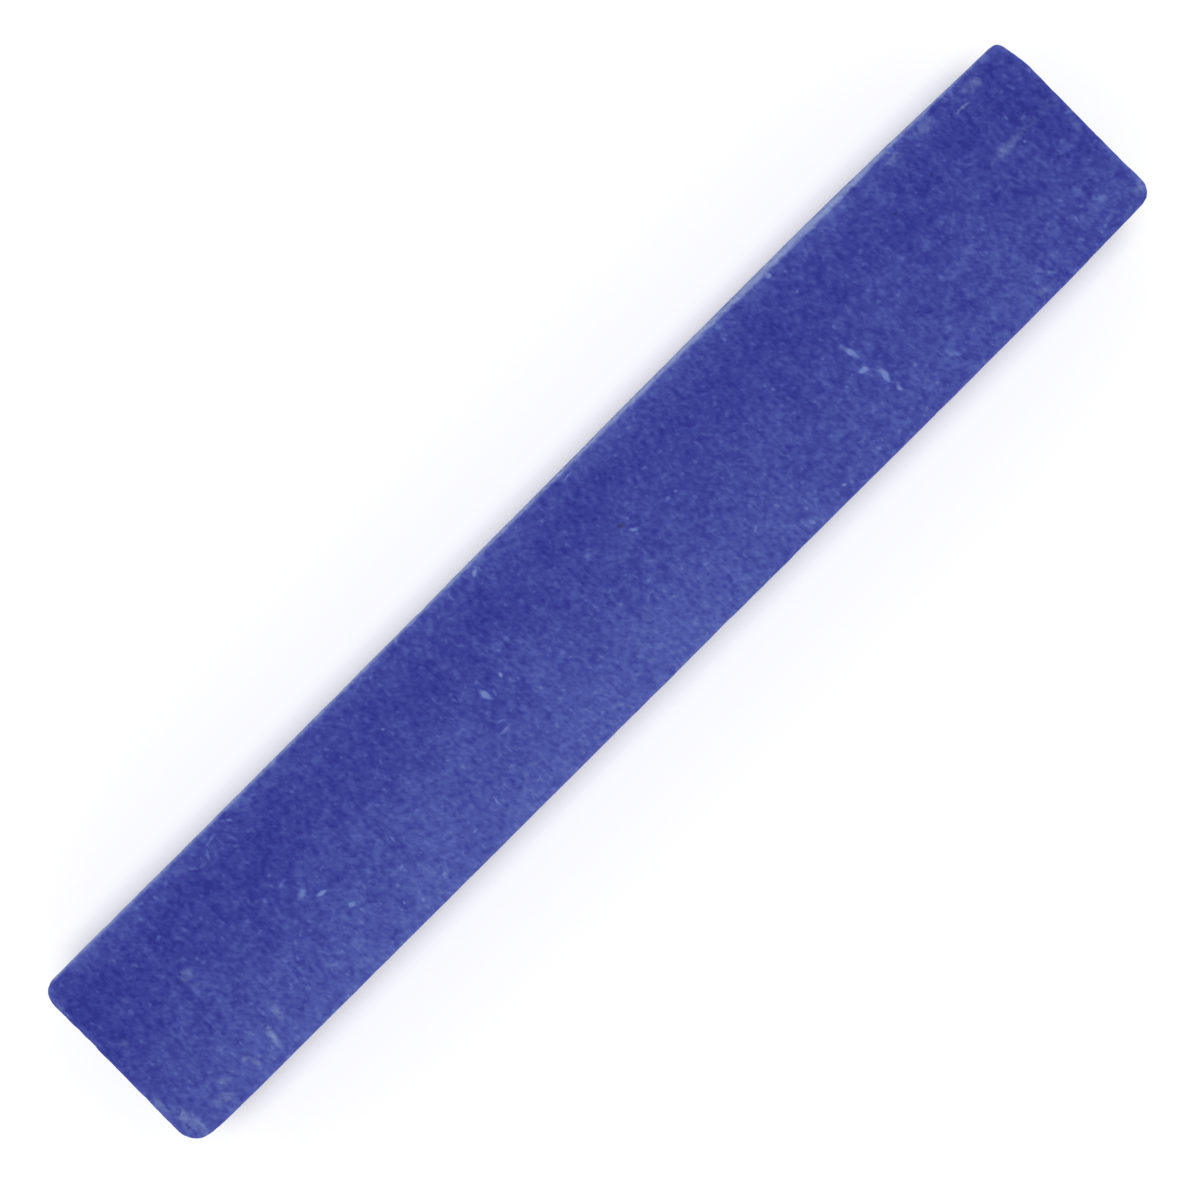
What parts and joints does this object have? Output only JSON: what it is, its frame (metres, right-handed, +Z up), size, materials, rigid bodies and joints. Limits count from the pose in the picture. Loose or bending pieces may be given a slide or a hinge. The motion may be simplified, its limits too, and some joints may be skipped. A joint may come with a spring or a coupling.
{
  "type": "soft pastel stick",
  "caption": "Square bar of pressed ultramarine pigment with softly worn corners, for drawing and blending colour by hand.",
  "frame": {"origin": "middle of the bar's outline seen from above, on the base that it lies on", "axes": "+X along the bar towards its squarer far end, +Y towards the bowed back side, +Z up out of the top face"},
  "size_m": [0.065, 0.0109, 0.0106],
  "materials": {
    "pigment": "matte"
  },
  "bodies": {
    "root": {"pastel_stick": "pigment"}
  },
  "joints": []
}
